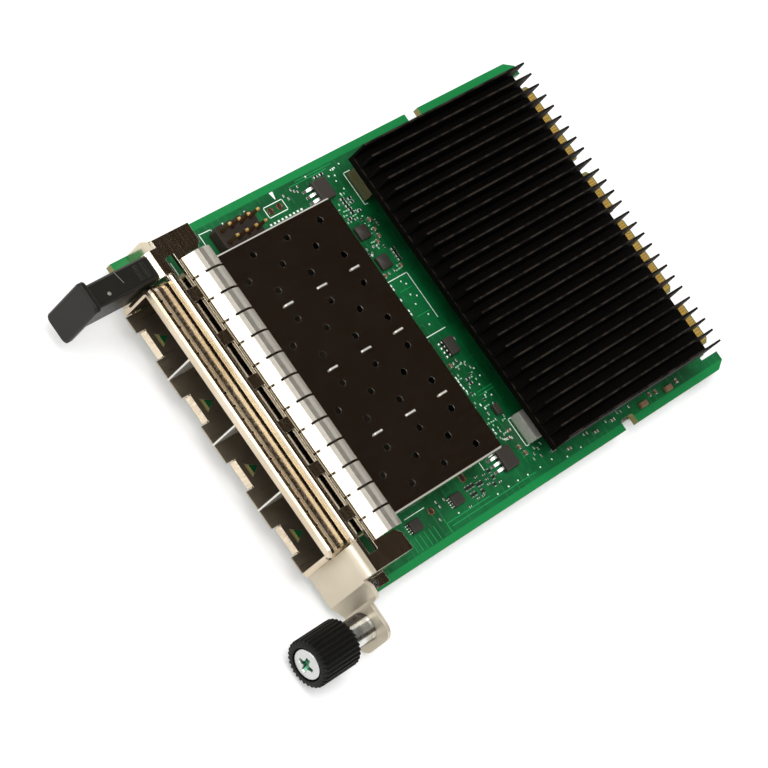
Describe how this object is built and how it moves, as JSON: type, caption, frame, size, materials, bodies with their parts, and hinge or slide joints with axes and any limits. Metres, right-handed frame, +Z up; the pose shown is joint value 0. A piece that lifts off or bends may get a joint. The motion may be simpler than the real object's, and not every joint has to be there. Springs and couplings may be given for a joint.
{
  "type": "ethernet_adapter_card",
  "caption": "Flat network adapter card with a row of caged module bays behind a folded metal faceplate, a finned black heatsink, a card-edge tongue, a pull tab and a captive thumbscrew",
  "frame": {"origin": "Middle of the board in plan, on the flat underside of the insulator tray, where the card rests", "axes": "+Y runs from the faceplate to the card edge, +X to the right seen from the faceplate, +Z up from the board's component side"},
  "size_m": [0.0846, 0.1322, 0.0173],
  "materials": {
    "board_mask": "green solder mask, semi-gloss",
    "cage_metal": "bright plated sheet, lightly brushed",
    "spring_metal": "bright plated spring sheet",
    "bracket_metal": "nickel-plated sheet, warm white",
    "tab_plastic": "black moulded plastic, satin",
    "knob_plastic": "black moulded plastic, satin",
    "screw_steel": "bright zinc-plated steel",
    "sink_anodised": "black anodised aluminium",
    "tin": "dull tin",
    "gold": "gold plating",
    "silicone": "grey silicone pad",
    "header_plastic": "black moulded plastic",
    "chip_plastic": "black moulding compound, matt",
    "ceramic": "tan ceramic",
    "film": "black insulating film"
  },
  "bodies": {
    "card": {"bracket": "bracket_metal", "bracket_screw_1": "screw_steel", "bracket_screw_2": "screw_steel", "bracket_spring_fingers": "spring_metal", "cage_collar": "spring_metal", "cage_cover": "cage_metal", "cage_divider_1": "cage_metal", "cage_divider_2": "cage_metal", "cage_divider_3": "cage_metal", "cage_floor": "cage_metal", "circuit_board": "board_mask", "controller_lid": "tin", "controller_package": "board_mask", "flat_chip_1": "chip_plastic", "flat_chip_2": "chip_plastic", "header_pin_1": "gold", "header_pin_2": "gold", "header_pin_3": "gold", "header_pin_4": "gold", "header_pin_5": "gold", "header_pin_6": "gold", "header_pin_7": "gold", "header_pin_8": "gold", "heatsink": "sink_anodised", "heatsink_screw_1": "screw_steel", "heatsink_screw_2": "screw_steel", "heatsink_screw_3": "screw_steel", "heatsink_screw_4": "screw_steel", "insulator_rivet_1": "tab_plastic", "insulator_rivet_2": "tab_plastic", "insulator_rivet_3": "tab_plastic", "insulator_rivet_4": "tab_plastic", "insulator_tray": "film", "memory_chip": "chip_plastic", "pin_header_body": "header_plastic", "port_connector_1": "chip_plastic", "port_connector_2": "chip_plastic", "port_connector_3": "chip_plastic", "port_connector_4": "chip_plastic", "power_package_left": "chip_plastic", "power_package_right": "chip_plastic", "pull_tab": "tab_plastic", "side_capacitor_1": "ceramic", "side_capacitor_2": "ceramic", "side_capacitor_3": "ceramic", "side_capacitor_4": "ceramic", "side_chip_1": "chip_plastic", "side_chip_2": "chip_plastic", "side_chip_3": "chip_plastic", "tall_part_left": "ceramic", "tall_part_right": "ceramic", "thermal_pad": "silicone", "thumbscrew_sleeve": "screw_steel"},
    "screw_carriage": {"retaining_ring": "screw_steel", "thumbscrew_spring": "screw_steel"},
    "screw_turning": {"thumbscrew_knob": "knob_plastic", "thumbscrew_screw": "screw_steel"}
  },
  "joints": [
    {"name": "screw_push", "type": "slide", "parent": "card", "child": "screw_carriage", "axis": [0, 1, 0], "range_m": [0, 0.0042], "stiffness_N_per_m": 300, "springref_m": -0.004, "deforming": ["thumbscrew_spring"]},
    {"name": "screw_turn", "type": "hinge", "parent": "screw_carriage", "child": "screw_turning", "pos_m": [0.0419, -0.0575, 0.0039], "axis": [0, 1, 0], "continuous": true}
  ]
}
